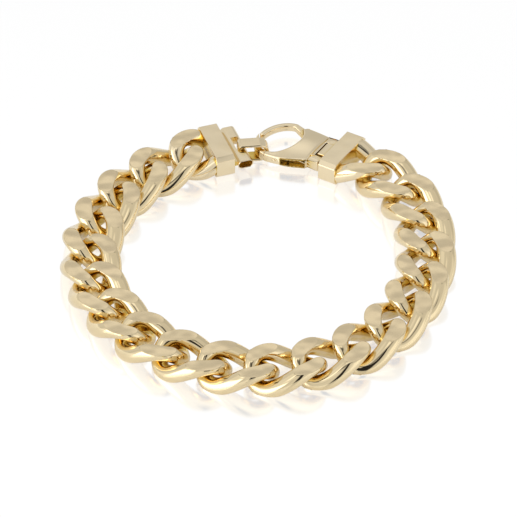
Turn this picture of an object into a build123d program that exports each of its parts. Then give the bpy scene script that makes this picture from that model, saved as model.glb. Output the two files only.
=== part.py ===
# A cuban link bracelet, closed, lying flat on a surface.
# Units are millimetres. Z is up, the surface is Z = 0, and the origin is the middle of the bracelet's box.
import os
from math import acos, atan2, cos, degrees, hypot, radians, sin, tan

from build123d import *

# The chain
link_count = 21  # the first and the last are half links, soldered into the end caps
link_length = 16.4
link_width = 12.15
chain_height = 5.0  # between the ground flats
side_wire_width = 3.75
side_wire_height = 3.5
end_wire_width = 3.05
end_wire_height = 3.0
turn_play = 1.1  # between the end turns of a link and its neighbour
strand_gap = 0.85  # where two wires cross, one above the other
loft_steps = 4  # along a quarter of a link

# The loop that the chain lies in, a little longer from front to back than from side to side
oval_share = 0.043
oval_direction = 80.6
egg_share = 0.012
egg_direction = 51.9
first_link_direction = 107.8
end_link_turns = {1: 1.5, 18: 1.0, 19: 0.7}  # degrees, more towards the cap than its neighbours

# The end caps
cap_length = 3.8
cap_width = 12.3
cap_chamfer = 0.85
cap_wall = 0.65
cap_end_wall = 0.9
left_cap_lead = 1.6  # from the half link's middle to the cap's middle
left_cap_shift = 0.1  # of the half link, outwards from the loop
half_link_pull = 0.4  # of both half links, out along the chain
right_cap_lead = 2.78
right_cap_shift = 0.5  # inwards

# The flattened barrel on the left cap, and the web that carries it
barrel_width = 2.8
barrel_height = 1.9
barrel_length = 11.8
barrel_wall = 0.3
barrel_bore_depth = 2.6
barrel_stand_off = 1.15  # from the cap's end face
barrel_drop = 0.3  # below the middle of the cap's height
web_thickness = 1.1
web_width = 10.2
slot_length = 4.4
slot_width = 1.5

# The catch ring
ring_band_width = 2.4
ring_band_thickness = 0.6
ring_height = 4.0
ring_length = 6.3
ring_corner = 0.8
ring_turn = -12.9  # its heading, from the barrel's
ring_shift = -0.75  # along the slot
ring_drop = 0.45  # below the middle of the chain's height

# The clasp
clasp_height = 2.9  # over the plates
clasp_drop = 0.65  # below the middle of the chain's height
tail_width = 9.1
eye_length = 7.2
eye_width = 9.84
eye_lead = 7.96  # from the clasp's rear edge to the middle of the eye
eye_offset = 0.9  # to the side that faces the wrist
eye_turn = -12.9
rim_width = 1.3
plate_start_direction = 84.8  # round the eye, where the flat side begins
plate_end_direction = -120.8
claw_height = 1.9
claw_rise = 0.0
claw_end_direction = 8.0  # where the lever's tip meets the claw
plate_thickness = 0.6
clasp_wall = 0.8
clasp_edge_radius = 0.5
window_start = 0.7
window_end = 5.0

# The lever and its pin
lever_width = 1.2
lever_height = 1.5
lever_root_direction = -92.0
lever_end_gap = 0.8  # degrees round the eye
lever_reach = 9.75  # from the pin to the tip
lever_room = 0.2  # round the lever's root, inside the body
lever_pivot_lead = 4.1
lever_pivot_offset = -3.1
lever_boss_diameter = 1.9
lever_edge_radius = 0.4
lever_travel = 10.0
claw_notch_room = 0.15  # round the tip's way inside the claw
pin_diameter = 1.0
pin_clearance = 0.05
pin_seat_clearance = 0.02
pin_end_cover = 0.15

# The clasp's tail, and the strap of the right cap that wraps its bar
tail_tab_width = 8.6
tail_height = 2.2
tail_land = 0.5  # between the clasp's rear edge and its slot
tail_slot_length = 4.7
tail_bar_width = 0.8
tail_bar_height = 1.4
strap_width = 4.0
strap_thickness = 0.6
strap_corner = 0.7
strap_clearance = 0.2
strap_stand_off = 1.2  # from the bar to the cap's end face

# How the caps lie between the two half links
clasp_run = 30.0  # between the half links' places on the loop
left_cap_heading = 24.75  # from the line between those places
right_cap_heading = 154.75

# Worked out from these
mid_height = chain_height / 2
half_run = (link_length - end_wire_width) / 2
half_spread = (link_width - side_wire_width) / 2
link_pitch = 2 * half_run - end_wire_width - turn_play
crossing_angle = degrees(acos(link_pitch / 2 / half_run))


# The wire grows from the end turns to the middle of the sides.
def wire_size(at_end, at_side, angle):
    return at_end + (at_side - at_end) * sin(radians(angle)) ** 2


crossing_height = wire_size(end_wire_height, side_wire_height, crossing_angle)
strand_rise = (crossing_height + strand_gap) / 2 / sin(radians(2 * crossing_angle))


# One curb link, about its own middle, with X along the chain. The wire's line is an oval
# that rises and dips twice, so that the link can lie flat through its neighbours.
def wire_plane(angle):
    turn = radians(angle)
    middle = Vector(half_run * cos(turn), half_spread * sin(turn), -strand_rise * sin(2 * turn))
    along = Vector(-half_run * sin(turn), half_spread * cos(turn), -2 * strand_rise * cos(2 * turn))
    return Plane(origin=middle, x_dir=along.cross(Vector(0, 0, 1)), z_dir=along)


def quarter_wire(start_angle):
    with BuildPart() as quarter:
        for step in range(loft_steps + 1):
            section_angle = start_angle + 90 * step / loft_steps
            section_width = wire_size(end_wire_width, side_wire_width, section_angle)
            section_height = wire_size(end_wire_height, side_wire_height, section_angle)
            with BuildSketch(wire_plane(section_angle)):
                Ellipse(section_width / 2, section_height / 2)
        loft()
    return quarter.part


with BuildPart() as whole_wire:
    for start_angle in (0, 90):
        add(quarter_wire(start_angle))
        add(quarter_wire(start_angle).rotate(Axis.Z, 180))

with BuildPart() as curb_link:
    add(whole_wire.part)
    Box(2 * link_length, 2 * link_width, chain_height, mode=Mode.INTERSECT)


# The chain's loop, as the reach from its middle in each direction
def loop_point(direction, radius):
    oval = oval_share * cos(2 * radians(direction - oval_direction))
    egg = egg_share * cos(3 * radians(direction - egg_direction))
    reach = radius * (1 + oval + egg)
    return Vector(reach * cos(radians(direction)), reach * sin(radians(direction)), mid_height)


# The next direction on the loop, a straight distance away
def step_round(direction, distance, radius):
    low = 0.0
    high = 90.0
    start = loop_point(direction, radius)
    while high - low > 1e-9:
        middle = (low + high) / 2
        if (loop_point(direction + middle, radius) - start).length < distance:
            low = middle
        else:
            high = middle
    return direction + low


def chain_directions(radius):
    directions = [first_link_direction]
    for _ in range(link_count - 1):
        directions.append(step_round(directions[-1], link_pitch, radius))
    return directions


# The radius at which the links and the clasp go round once
small_radius = link_count * link_pitch / 2 / 3.5
large_radius = link_count * link_pitch / 2
while large_radius - small_radius > 1e-7:
    loop_radius = (small_radius + large_radius) / 2
    last_direction = step_round(chain_directions(loop_radius)[-1], clasp_run, loop_radius)
    if last_direction > first_link_direction + 360:
        small_radius = loop_radius
    else:
        large_radius = loop_radius

link_places = [loop_point(direction, loop_radius) for direction in chain_directions(loop_radius)]
run_line = link_places[-1] - link_places[0]
run_heading = degrees(atan2(run_line.Y, run_line.X))


# A frame a distance along a heading from a place
def frame_at(place, heading, lead=0.0, offset=0.0):
    along = Vector(cos(radians(heading)), sin(radians(heading)), 0)
    across = Vector(-sin(radians(heading)), cos(radians(heading)), 0)
    return Location(place + along * lead + across * offset, (0, 0, heading))


left_heading = run_heading + left_cap_heading
right_heading = run_heading + right_cap_heading
left_lead = left_cap_lead + half_link_pull
right_lead = right_cap_lead + half_link_pull
left_cap_frame = frame_at(link_places[0], left_heading, left_lead, left_cap_shift)
right_cap_frame = frame_at(link_places[-1], right_heading, right_lead, right_cap_shift)

# Distances from a cap's middle towards the clasp
cap_face = cap_length / 2
barrel_axis = cap_face + barrel_stand_off + barrel_width / 2
tail_slot_width = strap_thickness + 2 * strap_clearance
tail_tab_length = tail_land + tail_slot_width + tail_bar_width
clasp_rear = cap_face + strap_stand_off + tail_tab_length
slot_place = frame_at(left_cap_frame.position, left_heading, barrel_axis, ring_shift).position
ring_frame = frame_at(slot_place - Vector(0, 0, ring_drop), left_heading + ring_turn)
clasp_place = right_cap_frame.position - Vector(0, 0, clasp_drop)
clasp_frame = frame_at(clasp_place, right_heading, clasp_rear)

# The closed end cap's block, about its own middle, with X towards the clasp
with BuildPart() as cap_block:
    with BuildSketch(Plane.YZ.offset(-cap_face)):
        cap_outline = Rectangle(cap_width, chain_height)
        chamfer(cap_outline.vertices(), cap_chamfer)
    extrude(amount=cap_length)

# The room that the half link may fill: inside the block, and behind it
with BuildPart() as wire_room:
    add(cap_block.part)
    with Locations((-cap_face - link_length / 2, 0, 0)):
        Box(link_length, 2 * link_width, chain_height)


def half_link(lead):
    with BuildPart() as wire_end:
        add(whole_wire.part.moved(Location((-lead, 0, 0))))
        add(wire_room.part, mode=Mode.INTERSECT)
    return wire_end.part


# A cap with its half link
def end_cap(lead):
    with BuildPart() as cap:
        add(cap_block.part)
        with BuildSketch(Plane.YZ.offset(-cap_face)):
            Rectangle(cap_width - 2 * cap_wall, chain_height - 2 * cap_wall)
        extrude(amount=cap_length - cap_end_wall, mode=Mode.SUBTRACT)
        add(half_link(lead))
    return cap.part


web_start = cap_face - cap_end_wall / 2
bore_middle = (barrel_length - barrel_bore_depth) / 2
with BuildPart() as left_end_cap:
    add(end_cap(left_cap_lead))
    with Locations(((web_start + barrel_axis) / 2, 0, -barrel_drop)):
        Box(barrel_axis - web_start, web_width, web_thickness)
    with BuildSketch(Plane.XZ.offset(-barrel_length / 2)):
        with Locations((barrel_axis, -barrel_drop)):
            SlotOverall(barrel_width, barrel_height)
    extrude(amount=barrel_length)
    for end in (-1, 1):
        with BuildSketch(Plane.XZ.offset(end * bore_middle - barrel_bore_depth / 2)):
            with Locations((barrel_axis, -barrel_drop)):
                SlotOverall(barrel_width - 2 * barrel_wall, barrel_height - 2 * barrel_wall)
        extrude(amount=barrel_bore_depth, mode=Mode.SUBTRACT)
    with Locations((barrel_axis, 0, -barrel_drop)):
        Box(slot_width, slot_length, 2 * barrel_height, mode=Mode.SUBTRACT)

strap_reach = clasp_rear - tail_land - strap_clearance
strap_height = tail_bar_height + 2 * (strap_clearance + strap_thickness)
with BuildPart() as right_end_cap:
    add(end_cap(right_cap_lead))
    with BuildSketch(Plane.XZ.offset(-strap_width / 2)):
        with Locations(((cap_face + strap_reach) / 2, -clasp_drop)):
            strap_outline = Rectangle(strap_reach - cap_face, strap_height)
        fillet(strap_outline.vertices().group_by(Axis.X)[-1], strap_corner)
    extrude(amount=strap_width)
    with BuildSketch(Plane.XZ.offset(-strap_width)):
        with Locations(((cap_face + strap_reach - strap_thickness) / 2, -clasp_drop)):
            Rectangle(strap_reach - strap_thickness - cap_face, strap_height - 2 * strap_thickness)
    extrude(amount=2 * strap_width, mode=Mode.SUBTRACT)

# The catch ring is D-shaped, with its straight side in the barrel's slot.
ring_radius = ring_height / 2
ring_back = -ring_band_thickness / 2
with BuildPart() as catch_ring:
    with BuildSketch(Plane.XZ.offset(-ring_band_width / 2)):
        with Locations((ring_back + ring_length - ring_radius, 0)):
            Circle(ring_radius)
        with Locations((ring_back + (ring_length - ring_radius) / 2, 0)):
            ring_side = Rectangle(ring_length - ring_radius, ring_height)
        fillet(ring_side.vertices().group_by(Axis.X)[0], ring_corner)
        offset(amount=-ring_band_thickness, mode=Mode.SUBTRACT)
    extrude(amount=ring_band_width)

eye_frame = Location((eye_lead, eye_offset, 0), (0, 0, eye_turn))


# A point of the clasp's rim in a direction from the eye's middle, a share of the rim's width
# from its inner edge
def rim_point(direction, share):
    reach_x = eye_length / 2 + rim_width * share
    reach_y = eye_width / 2 + rim_width * share
    turn = radians(direction - eye_turn)
    reach = reach_x * reach_y / hypot(reach_y * cos(turn), reach_x * sin(turn))
    return (eye_lead + reach * cos(radians(direction)), eye_offset + reach * sin(radians(direction)))


# A band that follows the eye
def rim_band(inner, outer):
    with BuildSketch() as band:
        with Locations(eye_frame):
            Ellipse(eye_length / 2 + outer, eye_width / 2 + outer)
            Ellipse(eye_length / 2 + inner, eye_width / 2 + inner, mode=Mode.SUBTRACT)
    return band.sketch


# The part of the clasp's plane between two directions from the eye's middle
def eye_wedge(first, last):
    corners = [rim_point(first + (last - first) * share / 4, 6) for share in range(5)]
    with BuildSketch() as wedge:
        with BuildLine():
            Polyline((eye_lead, eye_offset), *corners, close=True)
        make_face()
    return wedge.sketch


# The lever's root, from the rim to its boss round the pin
def lever_root(room):
    end_share = (lever_width / 2 + room) / rim_width
    with BuildSketch() as boss:
        with Locations((lever_pivot_lead, lever_pivot_offset)):
            Circle(lever_boss_diameter / 2 + room)
    with BuildLine() as rim_end:
        Line(
            rim_point(lever_root_direction, 0.5 - end_share),
            rim_point(lever_root_direction, 0.5 + end_share),
        )
    with BuildSketch() as root:
        make_hull(boss.edges() + rim_end.edges())
    return root.sketch


# The flat outline of the clasp's hollow body, with X from its rear edge to the claw
def body_outline():
    tail_side = tail_width / 2
    far_corner = eye_lead - (eye_offset + tail_side) / tan(radians(plate_end_direction + 180))
    with BuildSketch() as outline:
        with BuildLine():
            Polyline((0, -tail_side), (far_corner, -tail_side), (eye_lead, eye_offset))
            Line((eye_lead, eye_offset), rim_point(plate_start_direction, 1))
            TangentArc(rim_point(plate_start_direction, 1), (0, tail_side), tangent=(-1, 0))
            Line((0, tail_side), (0, -tail_side))
        make_face()
    return outline.sketch


# What is hollow between the two plates: the window, the room for the spring, and the lever's way
def body_hollow():
    with BuildSketch() as hollow:
        add(body_outline())
        offset(amount=-clasp_wall, mode=Mode.REPLACE)
        with Locations(((window_start + window_end) / 2, tail_width)):
            Rectangle(window_end - window_start, 2 * tail_width - 2 * clasp_wall)
        with Locations(eye_frame):
            Ellipse(eye_length / 2 + clasp_wall, eye_width / 2 + clasp_wall, mode=Mode.SUBTRACT)
        for share in (0, 0.5, 1):
            pivot = Axis((lever_pivot_lead, lever_pivot_offset, 0), (0, 0, 1))
            add(lever_root(lever_room).rotate(pivot, share * lever_travel))
    return hollow.sketch


# The way of the lever's tip, which the claw leaves free on its inner side
def tip_way():
    tip_x, tip_y = rim_point(claw_end_direction, 0)
    tip_angle = degrees(atan2(tip_y - lever_pivot_offset, tip_x - lever_pivot_lead))
    far = 2 * lever_reach
    corners = []
    for side in (-1, 1):
        turn = radians(tip_angle + side * (lever_travel + 2 * lever_end_gap))
        corners.append((lever_pivot_lead + far * cos(turn), lever_pivot_offset + far * sin(turn)))
    with BuildSketch() as way:
        with Locations((lever_pivot_lead, lever_pivot_offset)):
            Circle(lever_reach + claw_notch_room)
        with BuildLine():
            Polyline((lever_pivot_lead, lever_pivot_offset), *corners, close=True)
        make_face(mode=Mode.INTERSECT)
    return way.sketch


hollow_height = clasp_height - 2 * plate_thickness
pin_length = clasp_height - 2 * pin_end_cover

with BuildPart() as clasp_plates:
    with BuildSketch(Plane.XY.offset(-clasp_height / 2)):
        add(body_outline())
        with Locations(eye_frame):
            Ellipse(eye_length / 2, eye_width / 2, mode=Mode.SUBTRACT)
    extrude(amount=clasp_height)
    plate_edges = clasp_plates.edges().group_by(Axis.Z)
    long_edges = (plate_edges[0] + plate_edges[-1]).filter_by(lambda edge: edge.length > 2 * rim_width)
    fillet(long_edges, clasp_edge_radius)

with BuildPart() as hollow_room:
    with BuildSketch(Plane.XY.offset(-hollow_height / 2)):
        add(body_hollow())
    extrude(amount=hollow_height)

with BuildPart() as claw:
    with BuildSketch(Plane.XY.offset(claw_rise - claw_height / 2)):
        add(rim_band(0, rim_width))
    extrude(amount=claw_height)
    claw_edges = claw.edges().group_by(Axis.Z)
    fillet(claw_edges[0] + claw_edges[-1], clasp_edge_radius)
    with BuildSketch(Plane.XY.offset(-clasp_height)):
        add(eye_wedge(claw_end_direction, plate_end_direction))
        add(tip_way())
    extrude(amount=2 * clasp_height, mode=Mode.SUBTRACT)
    add(hollow_room.part, mode=Mode.SUBTRACT)

with BuildPart() as clasp_body:
    add(clasp_plates.part)
    add(hollow_room.part, mode=Mode.SUBTRACT)
    add(claw.part)
    with Locations((lever_pivot_lead, lever_pivot_offset, 0)):
        Cylinder(pin_diameter / 2 + pin_seat_clearance, pin_length + 2 * pin_seat_clearance, mode=Mode.SUBTRACT)
    with Locations(((clasp_wall / 2 - tail_tab_length) / 2, 0, 0)):
        Box(tail_tab_length + clasp_wall / 2, tail_tab_width, tail_height)
    with Locations((-tail_land - tail_slot_width / 2, 0, 0)):
        Box(tail_slot_width, tail_slot_length, 2 * tail_height, mode=Mode.SUBTRACT)
    bar_relief = (tail_height - tail_bar_height) / 2
    for side in (-1, 1):
        with Locations((-tail_tab_length + tail_bar_width / 2, 0, side * (tail_height - bar_relief) / 2)):
            Box(tail_bar_width, tail_slot_length, bar_relief, mode=Mode.SUBTRACT)

rim_middle = rim_width / 2
with BuildPart() as clasp_lever:
    with BuildSketch(Plane.XY.offset(claw_rise - lever_height / 2)):
        add(rim_band(rim_middle - lever_width / 2, rim_middle + lever_width / 2))
        add(eye_wedge(claw_end_direction - lever_end_gap, lever_root_direction), mode=Mode.INTERSECT)
        add(lever_root(0))
        with Locations((lever_pivot_lead, lever_pivot_offset)):
            Circle(lever_reach, mode=Mode.INTERSECT)
    extrude(amount=lever_height)
    lever_edges = clasp_lever.edges().group_by(Axis.Z)
    side_edges = (lever_edges[0] + lever_edges[-1]).filter_by(lambda edge: edge.length > 2 * rim_width)
    fillet(side_edges, lever_edge_radius)
    with Locations((lever_pivot_lead, lever_pivot_offset, 0)):
        Cylinder(pin_diameter / 2 + pin_clearance, 2 * clasp_height, mode=Mode.SUBTRACT)

with BuildPart() as lever_pin:
    with Locations((lever_pivot_lead, lever_pivot_offset, 0)):
        Cylinder(pin_diameter / 2, pin_length)

# Every piece in its place, with the middle of the whole box over the origin
placed = {}
for index in range(1, link_count - 1):
    chain_line = link_places[index + 1] - link_places[index - 1]
    link_heading = degrees(atan2(chain_line.Y, chain_line.X)) + end_link_turns.get(index, 0.0)
    link_frame = frame_at(link_places[index], link_heading)
    placed[f"link_{index:02d}"] = curb_link.part.moved(link_frame)
placed["left_end_cap"] = left_end_cap.part.moved(left_cap_frame)
placed["right_end_cap"] = right_end_cap.part.moved(right_cap_frame)
placed["catch_ring"] = catch_ring.part.moved(ring_frame)
placed["clasp_body"] = clasp_body.part.moved(clasp_frame)
placed["clasp_lever"] = clasp_lever.part.moved(clasp_frame)
placed["lever_pin"] = lever_pin.part.moved(clasp_frame)

boxes = [shape.bounding_box() for shape in placed.values()]
middle_x = (min(box.min.X for box in boxes) + max(box.max.X for box in boxes)) / 2
middle_y = (min(box.min.Y for box in boxes) + max(box.max.Y for box in boxes)) / 2
to_origin = Location((-middle_x, -middle_y, 0))

os.makedirs("parts", exist_ok=True)
for name, shape in placed.items():
    piece = shape.moved(to_origin)
    piece.label = name
    export_step(piece, f"parts/{name}.step")
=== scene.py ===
# A cuban link bracelet of polished yellow gold, closed, lying on a glossy white table.
import math

import bmesh
import bpy
from mathutils import Matrix, Vector
from mathutils.bvhtree import BVHTree


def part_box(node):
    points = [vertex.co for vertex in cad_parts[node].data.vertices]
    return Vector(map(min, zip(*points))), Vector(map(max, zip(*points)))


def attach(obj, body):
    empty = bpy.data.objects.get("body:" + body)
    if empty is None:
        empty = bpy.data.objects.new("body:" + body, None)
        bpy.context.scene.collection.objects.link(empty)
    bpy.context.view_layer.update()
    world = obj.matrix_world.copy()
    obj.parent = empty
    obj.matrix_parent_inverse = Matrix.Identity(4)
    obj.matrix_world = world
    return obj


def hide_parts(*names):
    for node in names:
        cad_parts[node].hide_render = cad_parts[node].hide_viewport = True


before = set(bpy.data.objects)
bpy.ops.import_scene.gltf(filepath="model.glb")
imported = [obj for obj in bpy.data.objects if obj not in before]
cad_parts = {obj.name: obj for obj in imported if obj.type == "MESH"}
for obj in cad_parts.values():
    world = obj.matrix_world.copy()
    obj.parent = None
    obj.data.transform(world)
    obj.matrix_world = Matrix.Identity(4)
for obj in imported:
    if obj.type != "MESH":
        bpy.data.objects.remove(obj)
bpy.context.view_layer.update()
mm = 0.001


# A place given in millimetres
def point(x, y, z=0.0):
    return Vector((x * mm, y * mm, z * mm))


# Where a piece lies: its middle, and the heading of its X axis in degrees
def placeAt(middle, heading):
    return Matrix.Translation(middle) @ Matrix.Rotation(math.radians(heading), 4, "Z")


goldPieces = []


def finishPiece(name, bm, materials, nodes, body="bracelet", slot="fittings", sharpAngle=38):
    mesh = bpy.data.meshes.new(name)
    for face in bm.faces:
        face.smooth = True
    bm.to_mesh(mesh)
    bm.free()
    mesh.set_sharp_from_angle(angle=math.radians(sharpAngle))
    for material in materials:
        mesh.materials.append(material)
    piece = bpy.data.objects.new(name, mesh)
    bpy.context.scene.collection.objects.link(piece)
    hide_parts(*nodes)
    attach(piece, body)
    goldPieces.append(piece)
    return piece


# Shades the large faces flat and turns the normals over the rounded edges between them
def evenNormals(piece, faceWeight=80):
    weighted = piece.modifiers.new("even normals", "WEIGHTED_NORMAL")
    weighted.keep_sharp = True
    weighted.weight = faceWeight
    return piece


# One ring of points round a wire or band: width and height across it, and the corners' radius.
# With no corner radius it is an oval.
def addSection(bm, station, width, height, corner=None, segments=32):
    turn = Matrix.Rotation(math.pi / segments, 4, "Z")
    made = bmesh.ops.create_circle(bm, segments=segments, radius=1.0, matrix=turn)["verts"]
    for vert in made:
        x, y = vert.co.x, vert.co.y
        if corner is None:
            vert.co.x, vert.co.y = x * width / 2, y * height / 2
        else:
            vert.co.x = x * corner + math.copysign(width / 2 - corner, x)
            vert.co.y = y * corner + math.copysign(height / 2 - corner, y)
    bmesh.ops.transform(bm, matrix=station, verts=made)
    return list(dict.fromkeys(edge for vert in made for edge in vert.link_edges))


def bridgeSections(bm, sections, closed):
    pairs = list(zip(sections, sections[1:]))
    if closed:
        pairs.append((sections[-1], sections[0]))
    for first, second in pairs:
        bmesh.ops.bridge_loops(bm, edges=first + second)


# The gold: mirror polish on the wires, and a softer polish on the ground flats.
# Each look: its colours, its polish, and the painted bounce light and painted shade that deepen it
# where pieces lie close together.

goldLook = {
    "colour": (0.93, 0.77, 0.485, 1.0),
    "warmColour": (0.9, 0.72, 0.42, 1.0),
    "warmStart": 0.45,
    "warmEnd": 0.8,
    "warmShare": 0.35,
    "roughness": 0.03,
    "roughnessSpread": 0.05,
    "waveHeight": 0.05,
    "waveScale": 260.0,
    # Painted bounce light: the amber that the gold takes in hollows
    "paintedBounceColour": (0.86, 0.62, 0.16, 1.0),
    "hollowStart": 0.35,
    "hollowEnd": 0.8,
    "hollowRoughness": 0.1,
    # Painted shade: the dark brown in the closest crevices
    "paintedShadeColour": (0.5, 0.31, 0.06, 1.0),
    "creviceStart": 0.68,
    "creviceEnd": 1.0,
    # Where the gold turns less metallic, so that its painted amber shows lit
    "pocketStart": 0.8,
    "pocketEnd": 0.97,
    "pocketShine": 0.25,
}
flatLook = {
    **goldLook,
    "colour": (0.92, 0.755, 0.48, 1.0),
    "warmColour": (0.88, 0.7, 0.45, 1.0),
    "roughness": 0.1,
    "roughnessSpread": 0.14,
    "waveHeight": 0.5,
    "waveScale": 220.0,
}
fittingLook = {**goldLook, "colour": (0.97, 0.82, 0.56, 1.0), "roughness": 0.08}


polishValues = {"rubScale": 900.0, "rubDetail": 3.0, "waveDetail": 1.0, "waveDepth": 1 * mm}


# A polisher's traces: long faint waves and fine rub marks
def makePolishGroup():
    v = polishValues
    group = bpy.data.node_groups.new("polish traces", "ShaderNodeTree")
    interface = group.interface
    interface.new_socket("Roughness", in_out="INPUT", socket_type="NodeSocketFloat")
    interface.new_socket("Spread", in_out="INPUT", socket_type="NodeSocketFloat")
    interface.new_socket("Wave", in_out="INPUT", socket_type="NodeSocketFloat")
    interface.new_socket("Wave scale", in_out="INPUT", socket_type="NodeSocketFloat")
    interface.new_socket("Roughness", in_out="OUTPUT", socket_type="NodeSocketFloat")
    interface.new_socket("Tone", in_out="OUTPUT", socket_type="NodeSocketFloat")
    interface.new_socket("Normal", in_out="OUTPUT", socket_type="NodeSocketVector")
    nodes, links = group.nodes, group.links
    given = nodes.new("NodeGroupInput")
    result = nodes.new("NodeGroupOutput")
    place = nodes.new("ShaderNodeTexCoord")
    rubs = nodes.new("ShaderNodeTexNoise")
    rubs.inputs["Scale"].default_value = v["rubScale"]
    rubs.inputs["Detail"].default_value = v["rubDetail"]
    waves = nodes.new("ShaderNodeTexNoise")
    waves.inputs["Detail"].default_value = v["waveDetail"]
    spread = nodes.new("ShaderNodeMath")
    spread.operation = "MULTIPLY_ADD"
    bump = nodes.new("ShaderNodeBump")
    bump.inputs["Distance"].default_value = v["waveDepth"]
    links.new(place.outputs["Object"], rubs.inputs["Vector"])
    links.new(place.outputs["Object"], waves.inputs["Vector"])
    links.new(rubs.outputs["Fac"], spread.inputs[0])
    links.new(given.outputs["Spread"], spread.inputs[1])
    links.new(given.outputs["Roughness"], spread.inputs[2])
    links.new(spread.outputs["Value"], result.inputs["Roughness"])
    links.new(waves.outputs["Fac"], bump.inputs["Height"])
    links.new(given.outputs["Wave"], bump.inputs["Strength"])
    links.new(given.outputs["Wave scale"], waves.inputs["Scale"])
    links.new(waves.outputs["Fac"], result.inputs["Tone"])
    links.new(bump.outputs["Normal"], result.inputs["Normal"])
    return group


polishGroup = makePolishGroup()


def makeGold(name, look):
    material = bpy.data.materials.new(name)
    material.use_nodes = True
    nodes, links = material.node_tree.nodes, material.node_tree.links
    shader = nodes["Principled BSDF"]
    shader.inputs["Metallic"].default_value = 1.0
    polish = nodes.new("ShaderNodeGroup")
    polish.node_tree = polishGroup
    polish.inputs["Roughness"].default_value = look["roughness"]
    polish.inputs["Spread"].default_value = look["roughnessSpread"]
    polish.inputs["Wave"].default_value = look["waveHeight"]
    polish.inputs["Wave scale"].default_value = look["waveScale"]
    tone = nodes.new("ShaderNodeMix")
    tone.data_type = "RGBA"
    tone.inputs["A"].default_value = look["colour"]
    tone.inputs["B"].default_value = look["warmColour"]
    warm = nodes.new("ShaderNodeMapRange")
    warm.inputs["From Min"].default_value = look["warmStart"]
    warm.inputs["From Max"].default_value = look["warmEnd"]
    warm.inputs["To Max"].default_value = look["warmShare"]
    links.new(polish.outputs["Tone"], warm.inputs["Value"])
    links.new(warm.outputs["Result"], tone.inputs["Factor"])
    # Painted bounce light and painted shade: between the pieces light bounces several times, which
    # makes the gold amber, then brown, and that is painted into the colour here
    hollow = nodes.new("ShaderNodeAttribute")
    hollow.attribute_name = "hollow"
    depth = nodes.new("ShaderNodeMapRange")
    depth.interpolation_type = "SMOOTHSTEP"
    depth.inputs["From Min"].default_value = look["hollowStart"]
    depth.inputs["From Max"].default_value = look["hollowEnd"]
    deepen = nodes.new("ShaderNodeMix")
    deepen.data_type = "RGBA"
    deepen.inputs["B"].default_value = look["paintedBounceColour"]
    soften = nodes.new("ShaderNodeMath")
    soften.operation = "MULTIPLY_ADD"
    soften.inputs[1].default_value = look["hollowRoughness"]
    links.new(hollow.outputs["Fac"], depth.inputs["Value"])
    links.new(depth.outputs["Result"], deepen.inputs["Factor"])
    links.new(tone.outputs["Result"], deepen.inputs["A"])
    # Painted shade: the closest crevices turn dark brown
    crevice = nodes.new("ShaderNodeMapRange")
    crevice.inputs["From Min"].default_value = look["creviceStart"]
    crevice.inputs["From Max"].default_value = look["creviceEnd"]
    darken = nodes.new("ShaderNodeMix")
    darken.data_type = "RGBA"
    darken.inputs["B"].default_value = look["paintedShadeColour"]
    links.new(hollow.outputs["Fac"], crevice.inputs["Value"])
    links.new(crevice.outputs["Result"], darken.inputs["Factor"])
    links.new(deepen.outputs["Result"], darken.inputs["A"])
    links.new(darken.outputs["Result"], shader.inputs["Base Color"])
    links.new(depth.outputs["Result"], soften.inputs[0])
    links.new(polish.outputs["Roughness"], soften.inputs[2])
    links.new(soften.outputs["Value"], shader.inputs["Roughness"])
    links.new(polish.outputs["Normal"], shader.inputs["Normal"])
    # Deep in a bore or a pocket the gold is made less metallic, so that its painted amber takes
    # light from all sides, in place of light that bounces there
    pocket = nodes.new("ShaderNodeMapRange")
    pocket.interpolation_type = "SMOOTHSTEP"
    pocket.inputs["From Min"].default_value = look["pocketStart"]
    pocket.inputs["From Max"].default_value = look["pocketEnd"]
    pocket.inputs["To Min"].default_value = 1.0
    pocket.inputs["To Max"].default_value = look["pocketShine"]
    links.new(hollow.outputs["Fac"], pocket.inputs["Value"])
    links.new(pocket.outputs["Result"], shader.inputs["Metallic"])
    return material


linkGold = makeGold("link gold", goldLook)
flatGold = makeGold("flat gold", flatLook)
fittingGold = makeGold("fitting gold", fittingLook)
print("materials made")

# The chain: every link is one oval wire that rises and dips twice, ground flat above and below.
# Next to the end caps some links are turned a little further, by degrees.

chainValues = {
    "count": 19,
    "length": 16.4 * mm,
    "width": 12.15 * mm,
    "height": 5.0 * mm,
    "endWire": (3.05 * mm, 3.0 * mm),
    "sideWire": (3.75 * mm, 3.5 * mm),
    "rise": 2.0589 * mm,
    "flatRim": 0.12 * mm,
    "rimStep": 0.05 * mm,
    "leastStep": 0.002 * mm,
    "stations": 72,
    "endTurns": {1: 1.5, 18: 1.0, 19: 0.7},
}


# Where the link's wire is at an angle round it, and how its section is turned there
def wireStation(angle):
    v = chainValues
    halfRun = (v["length"] - v["endWire"][0]) / 2
    halfSpread = (v["width"] - v["sideWire"][0]) / 2
    rise = v["rise"]
    turn = math.radians(angle)
    middle = Vector(
        (halfRun * math.cos(turn), halfSpread * math.sin(turn), -rise * math.sin(2 * turn))
    )
    along = Vector(
        (-halfRun * math.sin(turn), halfSpread * math.cos(turn), -2 * rise * math.cos(2 * turn))
    ).normalized()
    across = along.cross(Vector((0, 0, 1))).normalized()
    up = along.cross(across)
    turned = Matrix((across, up, along)).transposed().to_4x4()
    return Matrix.Translation(middle) @ turned


# Grinds the link flat above (side 1) or below (side -1), and gives the rim's edges
def cutFlat(bm, height, side):
    cut = bmesh.ops.bisect_plane(
        bm,
        geom=bm.verts[:] + bm.edges[:] + bm.faces[:],
        plane_co=(0, 0, side * height / 2),
        plane_no=(0, 0, side),
        clear_outer=True,
    )
    rimVerts = [item for item in cut["geom_cut"] if isinstance(item, bmesh.types.BMVert)]
    bmesh.ops.remove_doubles(bm, verts=rimVerts, dist=chainValues["rimStep"])
    rim = [edge for edge in bm.edges if edge.is_boundary]
    for face in bmesh.ops.edgeloop_fill(bm, edges=rim)["faces"]:
        face.material_index = 1
    return rim


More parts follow.
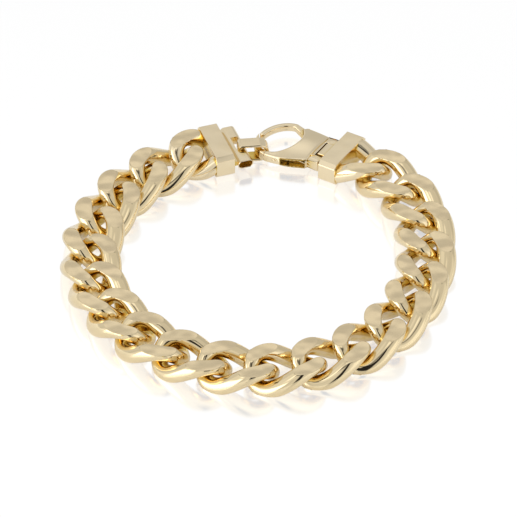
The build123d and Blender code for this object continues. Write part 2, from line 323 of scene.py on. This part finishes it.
def makeLink():
    v = chainValues
    bm = bmesh.new()
    sections = []
    for step in range(v["stations"]):
        angle = 360 * step / v["stations"]
        share = math.sin(math.radians(angle)) ** 2
        width = v["endWire"][0] + (v["sideWire"][0] - v["endWire"][0]) * share
        height = v["endWire"][1] + (v["sideWire"][1] - v["endWire"][1]) * share
        sections.append(addSection(bm, wireStation(angle), width, height))
    bridgeSections(bm, sections, closed=True)
    bmesh.ops.recalc_face_normals(bm, faces=bm.faces[:])
    rims = cutFlat(bm, v["height"], 1) + cutFlat(bm, v["height"], -1)
    bmesh.ops.bevel(
        bm, geom=rims, offset=v["flatRim"], segments=2, affect="EDGES", profile=0.5, material=-1
    )
    bmesh.ops.remove_doubles(bm, verts=bm.verts[:], dist=v["leastStep"])
    bmesh.ops.recalc_face_normals(bm, faces=bm.faces[:])
    return bm


def middleOf(node):
    low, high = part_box(node)
    return (low + high) / 2


# The middles of the two half links, at the chain's ends
chainEnds = {0: point(-10.2212, 32.3984, 2.5), 20: point(19.6278, 29.3926, 2.5)}
linkMiddles = {n: middleOf(f"link_{n:02d}") for n in range(1, chainValues["count"] + 1)}
linkMiddles.update(chainEnds)
link = makeLink()
for n in range(1, chainValues["count"] + 1):
    line = linkMiddles[n + 1] - linkMiddles[n - 1]
    heading = math.degrees(math.atan2(line.y, line.x)) + chainValues["endTurns"].get(n, 0)
    copy = link.copy()
    bmesh.ops.transform(copy, matrix=placeAt(linkMiddles[n], heading), verts=copy.verts[:])
    node = f"link_{n:02d}"
    evenNormals(finishPiece(f"chain_{node}", copy, (linkGold, flatGold), [node], slot="links"))
print("links made", len(goldPieces))


# The two end caps: a closed sleeve with a soldered half link.
# A lead is how far the half link's middle lies behind the sleeve's.

capValues = {
    "length": 3.8 * mm,
    "width": 12.3 * mm,
    "height": 5.0 * mm,
    "chamfer": 0.85 * mm,
    "edge": 0.12 * mm,
    "wall": 0.65 * mm,
    "depth": 2.9 * mm,
    "linkDepth": 0.12 * mm,
    "linkScale": (1, 1, 0.996),
    "leftLead": 1.6 * mm,
    "rightLead": 2.78 * mm,
}
leftCapPlace = placeAt(point(-8.3628, 33.1441, 2.5), 19.0)
rightCapPlace = placeAt(point(16.6446, 30.6019, 2.5), 149.0)


def edgesAlong(bm, axis, leastShare=0.99):
    return [
        edge
        for edge in bm.edges
        if abs((edge.verts[0].co - edge.verts[1].co).normalized()[axis]) > leastShare
    ]


def outerEdges(bm, leastAngle=30):
    return [edge for edge in bm.edges if edge.calc_face_angle(0) > math.radians(leastAngle)]


def bevelEdges(bm, edges, offset, segments):
    bmesh.ops.bevel(
        bm, geom=edges, offset=offset, segments=segments, affect="EDGES", profile=0.5, material=-1
    )


def makeSleeve():
    v = capValues
    bm = bmesh.new()
    bmesh.ops.create_cube(bm, size=1.0)
    bmesh.ops.scale(bm, verts=bm.verts[:], vec=(v["length"], v["width"], v["height"]))
    bevelEdges(bm, edgesAlong(bm, axis=0), v["chamfer"], segments=1)
    bevelEdges(bm, outerEdges(bm), v["edge"], segments=3)
    # The furthest back of the faces, and there the largest
    rear = min(bm.faces, key=lambda face: face.calc_center_median().x - face.calc_area())
    bmesh.ops.inset_individual(bm, faces=[rear], thickness=v["wall"] - v["edge"], depth=0)
    inside = bmesh.ops.extrude_face_region(bm, geom=[rear])["geom"]
    moved = [item for item in inside if isinstance(item, bmesh.types.BMVert)]
    bmesh.ops.translate(bm, verts=moved, vec=(v["depth"], 0, 0))
    bmesh.ops.recalc_face_normals(bm, faces=bm.faces[:])
    return bm


# A link that ends inside the sleeve. It is a hair lower, so its flats don't lie in the sleeve's.
def makeHalfLink(lead):
    v = capValues
    bm = link.copy()
    bmesh.ops.scale(bm, verts=bm.verts[:], vec=v["linkScale"])
    bmesh.ops.translate(bm, verts=bm.verts[:], vec=(-lead, 0, 0))
    cut = bmesh.ops.bisect_plane(
        bm,
        geom=bm.verts[:] + bm.edges[:] + bm.faces[:],
        plane_co=(v["linkDepth"] - v["length"] / 2, 0, 0),
        plane_no=(1, 0, 0),
        clear_outer=True,
    )
    rim = [item for item in cut["geom_cut"] if isinstance(item, bmesh.types.BMEdge)]
    bmesh.ops.edgeloop_fill(bm, edges=rim)
    return bm


def finishFitting(name, bm, place, nodes, **options):
    bmesh.ops.transform(bm, matrix=place, verts=bm.verts[:])
    return evenNormals(finishPiece(name, bm, (fittingGold, flatGold), nodes, **options))


for side, place in (("left", leftCapPlace), ("right", rightCapPlace)):
    node = f"{side}_end_cap"
    finishFitting(f"{side}_sleeve", makeSleeve(), place, [node])
    halfLink = makeHalfLink(capValues[f"{side}Lead"])
    finishFitting(f"{side}_half_link", halfLink, place, [node])
print("end caps made")

# The left cap's flat barrel, slotted for the catch ring, on its web

barrelValues = {
    "axis": 4.25 * mm,
    "slotMiddle": 4.45 * mm,
    "drop": 0.3 * mm,
    "length": 11.8 * mm,
    "width": 3.2 * mm,
    "height": 1.9 * mm,
    "wall": 0.2 * mm,
    "lip": 0.08 * mm,
    "boreDepth": 2.6 * mm,
    "slot": (1.5 * mm, 4.4 * mm, 6 * mm),
    "webStart": 1.45 * mm,
    "web": (10.2 * mm, 1.1 * mm),
    "webEdge": 0.12 * mm,
}


# A band or tube section that faces along the piece's Y axis
def acrossY(x, y, z):
    return Matrix.Translation((x, y, z)) @ Matrix.Rotation(math.radians(-90), 4, "X")


def makeBarrel():
    v = barrelValues
    bm = bmesh.new()
    half = v["length"] / 2
    # Along the tube: the bore's floor, the bore's mouth, the lip, the outside, and back again
    steps = (
        (v["boreDepth"] - half, v["wall"]),
        (v["lip"] - half, v["wall"]),
        (-half, v["wall"] - v["lip"]),
        (-half, v["lip"]),
        (v["lip"] - half, 0),
        (half - v["lip"], 0),
        (half, v["lip"]),
        (half, v["wall"] - v["lip"]),
        (half - v["lip"], v["wall"]),
        (half - v["boreDepth"], v["wall"]),
    )
    sections = []
    for along, inset in steps:
        width, height = v["width"] - 2 * inset, v["height"] - 2 * inset
        station = acrossY(v["axis"], along, -v["drop"])
        sections.append(addSection(bm, station, width, height, height / 2))
    bridgeSections(bm, sections, closed=False)
    for floor in (sections[0], sections[-1]):
        bmesh.ops.edgeloop_fill(bm, edges=floor)
    bmesh.ops.recalc_face_normals(bm, faces=bm.faces[:])
    return bm


# A block between two corners, with rounded edges where it is given a radius for them
def makeBlock(low, high, edge=0):
    bm = bmesh.new()
    bmesh.ops.create_cube(bm, size=1.0)
    size = [b - a for a, b in zip(low, high)]
    bmesh.ops.scale(bm, verts=bm.verts[:], vec=size)
    bmesh.ops.translate(bm, verts=bm.verts[:], vec=[(a + b) / 2 for a, b in zip(low, high)])
    if edge:
        bevelEdges(bm, bm.edges[:], edge, segments=2)
    return bm


# Cuts one closed shape out of another
def cutAway(bm, cutter):
    objects = []
    for name, shape in (("cut piece", bm), ("cutter", cutter)):
        mesh = bpy.data.meshes.new(name)
        shape.to_mesh(mesh)
        shape.free()
        made = bpy.data.objects.new(name, mesh)
        bpy.context.scene.collection.objects.link(made)
        objects.append(made)
    piece, tool = objects
    cut = piece.modifiers.new("cut", "BOOLEAN")
    cut.operation = "DIFFERENCE"
    cut.object = tool
    result = bmesh.new()
    result.from_object(piece, bpy.context.evaluated_depsgraph_get())
    for made in objects:
        bpy.data.objects.remove(made)
    return result


# The slot that the catch ring passes through
def makeSlotBox():
    v = barrelValues
    width, length, height = v["slot"]
    middle = v["slotMiddle"]
    low = (middle - width / 2, -length / 2, -height / 2)
    high = (middle + width / 2, length / 2, height / 2)
    return makeBlock(low, high)


# The web from the sleeve to the barrel's wall
def makeWeb():
    v = barrelValues
    width, height = v["web"]
    end = v["axis"] - v["width"] / 2 + v["wall"]
    low = (v["webStart"], -width / 2, -v["drop"] - height / 2)
    high = (end, width / 2, -v["drop"] + height / 2)
    return makeBlock(low, high, v["webEdge"])


barrel = cutAway(makeBarrel(), makeSlotBox())
finishFitting("flat_barrel", barrel, leftCapPlace, ["left_end_cap"])
finishFitting("barrel_web", makeWeb(), leftCapPlace, ["left_end_cap"])
print("barrel made")

# The catch ring, and the strap of the right cap: bands bent to shape.
# Each band: its width, its thickness and its corners' radius.

ringValues = {
    "band": (2.8 * mm, 0.6 * mm, 0.27 * mm),
    "end": 4.0 * mm,
    "radius": 1.7 * mm,
    "corner": 0.5 * mm,
    "turnSteps": 24,
    "cornerSteps": 8,
}
strapValues = {
    "band": (4.0 * mm, 0.6 * mm, 0.2 * mm),
    "start": 1.5 * mm,
    "end": 4.4 * mm,
    "half": 1.2 * mm,
    "corner": 0.4 * mm,
    "cornerSteps": 8,
    "drop": 0.65 * mm,
}
ringPlace = placeAt(point(-3.88, 33.69, 2.05), 6.1)
bandSegments = 24


# A section of a band that is bent in the piece's XZ plane, at an angle round an arc
def arcStation(centre, radius, angle):
    turn = math.radians(angle)
    outward = Vector((math.cos(turn), 0, math.sin(turn)))
    middle = Vector((centre[0], 0, centre[1])) + outward * radius
    along = Vector((-math.sin(turn), 0, math.cos(turn)))
    across = outward.cross(along)
    return Matrix.Translation(middle) @ Matrix((across, outward, along)).transposed().to_4x4()


# A band along arcs and the straight runs between them. An arc with no steps is one section.
def makeBand(band, arcs, closed):
    width, thickness, corner = band
    bm = bmesh.new()
    sections = []
    for centre, radius, first, last, steps in arcs:
        for step in range(steps + 1):
            angle = first + (last - first) * step / max(steps, 1)
            station = arcStation(centre, radius, angle)
            sections.append(addSection(bm, station, width, thickness, corner, bandSegments))
    bridgeSections(bm, sections, closed)
    if not closed:
        for end in (sections[0], sections[-1]):
            bmesh.ops.edgeloop_fill(bm, edges=end)
    bmesh.ops.recalc_face_normals(bm, faces=bm.faces[:])
    return bm


def makeRing():
    v = ringValues
    low = v["radius"] - v["corner"]
    arcs = (
        ((v["end"], 0), v["radius"], -90, 90, v["turnSteps"]),
        ((v["corner"], low), v["corner"], 90, 180, v["cornerSteps"]),
        ((v["corner"], -low), v["corner"], 180, 270, v["cornerSteps"]),
    )
    return makeBand(v["band"], arcs, closed=True)


def makeStrap():
    v = strapValues
    inner = v["end"] - v["corner"]
    top = v["half"] - v["drop"]
    bottom = -v["half"] - v["drop"]
    arcs = (
        ((v["start"], bottom + v["corner"]), v["corner"], -90, -90, 0),
        ((inner, bottom + v["corner"]), v["corner"], -90, 0, v["cornerSteps"]),
        ((inner, top - v["corner"]), v["corner"], 0, 90, v["cornerSteps"]),
        ((v["start"], top - v["corner"]), v["corner"], 90, 90, 0),
    )
    return makeBand(v["band"], arcs, closed=False)


finishFitting("catch_ring_band", makeRing(), ringPlace, ["catch_ring"])
finishFitting("tail_strap", makeStrap(), rightCapPlace, ["right_end_cap"])
print("ring and strap made")

# The clasp: its body grows from the thin claw to full height, and its sides fall away from a crest

# Directions are degrees round the middle of the eye, from the clasp's length towards its near
# side. The window and its height: the CAD's value, and the one that it gets here.
claspValues = {
    "eye": (7.96 * mm, 0.9 * mm),
    "reach": (14 * mm, 5 * mm),
    "grid": 0.45 * mm,
    "swellDirection": 45.0,
    "thinDirection": 84.0,
    "fullDirection": 122.0,
    "thinShare": 0.72,
    "clawSwell": 0.1,
    "crest": 4.7 * mm,
    "crown": 0.22,
    "rearFall": 0.24,
    "sideFall": 0.42,
    "middle": 0.6 * mm,
    "halfWidth": 5.2 * mm,
    "window": (0.7 * mm, 0.25 * mm),
    "windowEnd": 6 * mm,
    "hollowHeight": (0.85 * mm, 1.3 * mm),
    "match": 0.02 * mm,
    "leaf": (1.5 * mm, 0.22 * mm, 0.08 * mm),
    "leafRadius": 9 * mm,
    "leafMiddles": ((6.1 * mm, -8.0 * mm), (4.5 * mm, -8.0 * mm)),
    "leafTurns": ((129, 98), (119, 97)),
    "leafSteps": 12,
    "leafPlace": 3.5 * mm,
    "wallTurn": 21.0,
    "pocketWall": ((0.2 * mm, 2.5 * mm, -1.25 * mm), (5.4 * mm, 2.7 * mm, 1.25 * mm)),
    "rivet": (0.42 * mm, 0.14 * mm, 0.05 * mm),
    "rivetPlace": (6.35 * mm, 6.9 * mm, -0.1 * mm),
}
claspPlace = placeAt(point(12.0158, 33.3831, 1.85), 149.0)


# A copy of a CAD node's mesh, with its triangles joined
def nodeCopy(node, joinDistance=0.0005 * mm):
    bm = bmesh.new()
    bm.from_mesh(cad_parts[node].data)
    bmesh.ops.remove_doubles(bm, verts=bm.verts[:], dist=joinDistance)
    return bm


def smoothStep(value, low, high):
    share = min(max((value - low) / (high - low), 0), 1)
    return share * share * (3 - 2 * share)


# The share of the CAD's height that the clasp's body has at a place
def claspHeight(x, y):
    v = claspValues
    direction = math.degrees(math.atan2(y - v["eye"][1], x - v["eye"][0])) % 360
    if x < 0:
        return 1.0
    thin = v["thinDirection"]
    if direction < thin:
        return 1.0 + v["clawSwell"] * smoothStep(direction, v["swellDirection"], thin)
    grown = smoothStep(direction, thin, v["fullDirection"])
    height = v["thinShare"] + (1 - v["thinShare"]) * grown
    rear = max(v["crest"] - x, 0) / v["crest"]
    side = (y - v["middle"]) / v["halfWidth"]
    fall = v["rearFall"] * rear**2 + v["sideFall"] * side**2
    return height * (1 + grown * (v["crown"] - fall))


# The CAD's clasp body with a longer, higher window, cut into a grid and then crowned
def makeClaspBody():
    v = claspValues
    bm = nodeCopy("clasp_body")
    bmesh.ops.transform(bm, matrix=claspPlace.inverted(), verts=bm.verts[:])
    rear, newRear = v["window"]
    half, newHalf = v["hollowHeight"]
    for vert in bm.verts:
        if abs(vert.co.x - rear) < v["match"]:
            vert.co.x = newRear
        if vert.co.x < v["windowEnd"] and abs(abs(vert.co.z) - half) < v["match"]:
            vert.co.z = math.copysign(newHalf, vert.co.z)
    length, halfSpan = v["reach"]
    for axis, low, high in ((0, 0, length), (1, -halfSpan, halfSpan)):
        normal = Vector((axis == 0, axis == 1, 0))
        steps = round((high - low) / v["grid"])
        for step in range(steps):
            bmesh.ops.bisect_plane(
                bm,
                geom=bm.verts[:] + bm.edges[:] + bm.faces[:],
                plane_co=normal * (low + (step + 0.5) * v["grid"]),
                plane_no=normal,
            )
    for vert in bm.verts:
        vert.co.z *= claspHeight(vert.co.x, vert.co.y)
    return bm


# Brings a piece in line with the clasp's wall beside the window
def alongWall(bm):
    turn = Matrix.Rotation(math.radians(claspValues["wallTurn"]), 4, "Z")
    bmesh.ops.transform(bm, matrix=turn, verts=bm.verts[:])
    return bm


# The spring's two leaves and the wall behind them, seen through the window, and a rivet's head
def makeLeaf(number):
    v = claspValues
    first, last = v["leafTurns"][number]
    arc = (v["leafMiddles"][number], v["leafRadius"], first, last, v["leafSteps"])
    bm = makeBand(v["leaf"], [arc], closed=False)
    bmesh.ops.translate(bm, verts=bm.verts[:], vec=(0, v["leafPlace"], 0))
    return alongWall(bm)


def makePocketWall():
    bm = makeBlock(*claspValues["pocketWall"])
    bmesh.ops.subdivide_edges(bm, edges=bm.edges[:], cuts=6, use_grid_fill=True)
    return alongWall(bm)


def makeRivet():
    radius, depth, edge = claspValues["rivet"]
    x, y, z = claspValues["rivetPlace"]
    bm = bmesh.new()
    bmesh.ops.create_cone(
        bm,
        cap_ends=True,
        segments=28,
        radius1=radius,
        radius2=radius,
        depth=depth,
        matrix=acrossY(x, y, z),
    )
    bevelEdges(bm, outerEdges(bm), edge, segments=2)
    return bm


finishFitting("clasp_shell", makeClaspBody(), claspPlace, ["clasp_body"])
for number in (0, 1):
    finishFitting(f"spring_leaf_{number + 1}", makeLeaf(number), claspPlace, ["clasp_body"])
finishFitting("pocket_wall", makePocketWall(), claspPlace, ["clasp_body"])
finishFitting("rivet_head", makeRivet(), claspPlace, ["clasp_body"])
finishFitting("smooth_pin", nodeCopy("lever_pin"), Matrix.Identity(4), ["lever_pin"])
finishFitting(
    "smooth_lever", nodeCopy("clasp_lever"), Matrix.Identity(4), ["clasp_lever"], body="lever"
)
print("clasp made")

# How deep each point lies between the pieces: the share of directions that meet gold close by.
# The materials read it to paint amber bounce light and brown shade into the gold, because light
# that has bounced there several times is amber.

hollowValues = {"rays": 20, "reach": 5 * mm, "start": 0.02 * mm}


# Even directions over half a sphere, each turned from the last by the golden angle
def hemisphere(count):
    rays = []
    for step in range(count):
        up = (step + 0.5) / count
        turn = step * math.pi * (3 - math.sqrt(5))
        flat = math.sqrt(1 - up * up)
        rays.append(Vector((flat * math.cos(turn), flat * math.sin(turn), up)))
    return rays


def markHollows():
    v = hollowValues
    joined = bmesh.new()
    for piece in goldPieces:
        joined.from_mesh(piece.data)
    tree = BVHTree.FromBMesh(joined)
    joined.free()
    rays = hemisphere(v["rays"])
    for piece in goldPieces:
        mesh = piece.data
        hollow = mesh.attributes.new("hollow", "FLOAT", "POINT")
        for vert in mesh.vertices:
            turn = vert.normal.to_track_quat("Z", "Y")
            start = vert.co + vert.normal * v["start"]
            met = sum(tree.ray_cast(start, turn @ ray, v["reach"])[0] is not None for ray in rays)
            hollow.data[vert.index].value = met / v["rays"]


markHollows()
print("hollows marked")

# The table, the room and the camera

tableValues = {
    "size": 6.0,
    "drop": 0.02 * mm,
    "colour": (0.7, 0.7, 0.69, 1.0),
    "paperGlow": 0.3,
    "paperRoughness": 0.12,
    "paperBend": 2.1,
    "glow": 1.69,
    "gloss": 0.6,
    "roughness": 0.16,
}


# The glossy white table. Its own light keeps it white round the bracelet, and only the camera sees
# that: the gold reflects a plain white surface with its shadows.
def makeTable():
    v = tableValues
    bm = bmesh.new()
    bmesh.ops.create_grid(bm, x_segments=1, y_segments=1, size=v["size"])
    bmesh.ops.translate(bm, verts=bm.verts[:], vec=(0, 0, -v["drop"]))
    mesh = bpy.data.meshes.new("white_table")
    bm.to_mesh(mesh)
    bm.free()
    material = bpy.data.materials.new("white table")
    material.use_nodes = True
    nodes, links = material.node_tree.nodes, material.node_tree.links
    paper = nodes["Principled BSDF"]
    paper.inputs["Base Color"].default_value = v["colour"]
    paper.inputs["Roughness"].default_value = v["paperRoughness"]
    paper.inputs["IOR"].default_value = v["paperBend"]
    paper.inputs["Emission Color"].default_value = (1, 1, 1, 1)
    paper.inputs["Emission Strength"].default_value = v["paperGlow"]
    glow = nodes.new("ShaderNodeEmission")
    glow.inputs["Strength"].default_value = v["glow"]
    gloss = nodes.new("ShaderNodeBsdfGlossy")
    gloss.inputs["Roughness"].default_value = v["roughness"]
    shine = nodes.new("ShaderNodeMixShader")
    shine.inputs["Fac"].default_value = v["gloss"]
    seen = nodes.new("ShaderNodeMixShader")
    path = nodes.new("ShaderNodeLightPath")
    links.new(glow.outputs["Emission"], shine.inputs[1])
    links.new(gloss.outputs["BSDF"], shine.inputs[2])
    links.new(path.outputs["Is Camera Ray"], seen.inputs["Fac"])
    links.new(paper.outputs["BSDF"], seen.inputs[1])
    links.new(shine.outputs["Shader"], seen.inputs[2])
    links.new(seen.outputs["Shader"], nodes["Material Output"].inputs["Surface"])
    mesh.materials.append(material)
    table = bpy.data.objects.new("white_table", mesh)
    bpy.context.scene.collection.objects.link(table)


makeTable()

# The room is a white tent with two large soft lamps and a dark gap where the camera looks in.
# Each field: its sides in degrees from the camera to the right, its lowest and highest direction
# in degrees, how soft its edge is, and its brightness.
roomValues = {
    "brightness": 0.6,
    "fields": (
        ((-200, 200), (-90, 31), 9, 0.56),
        ((-200, 200), (39, 56), 7, 0.86),
        ((-168, -112), (-90, 62), 10, 0.68),
        ((112, 168), (-90, 62), 10, 0.56),
        ((-200, 200), (63, 100), 8, 0.66),
        ((-106, -24), (-90, 62), 7, 0.82),
        ((-88, -30), (0, 30), 6, 2.3),
        ((-60, -42), (42, 62), 6, 1.35),
        ((-42, 22), (67, 78), 4, 1.05),
        ((30, 104), (-90, 32), 6, 0.8),
        ((26, 112), (38, 62), 6, 0.64),
        ((44, 76), (2, 24), 6, 1.08),
        ((-18, 28), (-90, 62), 6, 0.72),
        ((-38, 54), (52, 61), 3, 0.2),
        ((3, 21), (-90, 60), 3, 0.02),
    ),
}


# 0 before the start and 1 after the end, or the other way round where the end is the lower
def edgeMask(tree, value, start, end):
    ramp = tree.nodes.new("ShaderNodeMapRange")
    ramp.interpolation_type = "SMOOTHSTEP"
    ramp.inputs["From Min"].default_value = start
    ramp.inputs["From Max"].default_value = end
    tree.links.new(value, ramp.inputs["Value"])
    return ramp.outputs["Result"]


def combine(tree, operation, first, second=None):
    node = tree.nodes.new("ShaderNodeMath")
    node.operation = operation
    tree.links.new(first, node.inputs[0])
    if second is not None:
        tree.links.new(second, node.inputs[1])
    return node.outputs["Value"]


def makeRoom():
    world = bpy.data.worlds.new("white room")
    world.use_nodes = True
    tree = world.node_tree
    nodes, links = tree.nodes, tree.links
    background = nodes["Background"]
    direction = nodes.new("ShaderNodeTexCoord")
    split = nodes.new("ShaderNodeSeparateXYZ")
    links.new(direction.outputs["Generated"], split.inputs["Vector"])
    towards = nodes.new("ShaderNodeMath")
    towards.operation = "MULTIPLY"
    towards.inputs[1].default_value = -1.0
    links.new(split.outputs["Y"], towards.inputs[0])
    around = combine(tree, "ARCTAN2", split.outputs["X"], towards.outputs["Value"])
    height = combine(tree, "ARCSINE", split.outputs["Z"])
    around = combine(tree, "DEGREES", around)
    height = combine(tree, "DEGREES", height)
    shade = nodes.new("ShaderNodeValue")
    shade.outputs["Value"].default_value = roomValues["brightness"]
    light = shade.outputs["Value"]
    for (left, right), (low, high), soft, brightness in roomValues["fields"]:
        mask = combine(
            tree,
            "MULTIPLY",
            combine(
                tree,
                "MULTIPLY",
                edgeMask(tree, around, left - soft, left + soft),
                edgeMask(tree, around, right + soft, right - soft),
            ),
            combine(
                tree,
                "MULTIPLY",
                edgeMask(tree, height, low - soft, low + soft),
                edgeMask(tree, height, high + soft, high - soft),
            ),
        )
        mix = nodes.new("ShaderNodeMix")
        mix.inputs["B"].default_value = brightness
        links.new(mask, mix.inputs["Factor"])
        links.new(light, mix.inputs["A"])
        light = mix.outputs["Result"]
    links.new(light, background.inputs["Color"])
    bpy.context.scene.world = world


makeRoom()

cameraValues = {
    "target": point(0.068, -4.986, 5.0),
    "elevation": 38.1,
    "distance": 1518 * mm,
    "lens": 541.3,
    "sensor": 36,
    "clip": (0.01, 50),
}


def addCamera():
    v = cameraValues
    data = bpy.data.cameras.new("camera")
    data.lens = v["lens"]
    data.sensor_width = v["sensor"]
    data.clip_start, data.clip_end = v["clip"]
    camera = bpy.data.objects.new("camera", data)
    up = math.radians(v["elevation"])
    back = Vector((0, -math.cos(up), math.sin(up)))
    camera.location = v["target"] + back * v["distance"]
    camera.rotation_mode = "QUATERNION"
    camera.rotation_quaternion = back.to_track_quat("Z", "Y")
    bpy.context.scene.collection.objects.link(camera)
    bpy.context.scene.camera = camera


addCamera()
bpy.context.scene.view_settings.view_transform = "Standard"
print("table, lights and camera made")
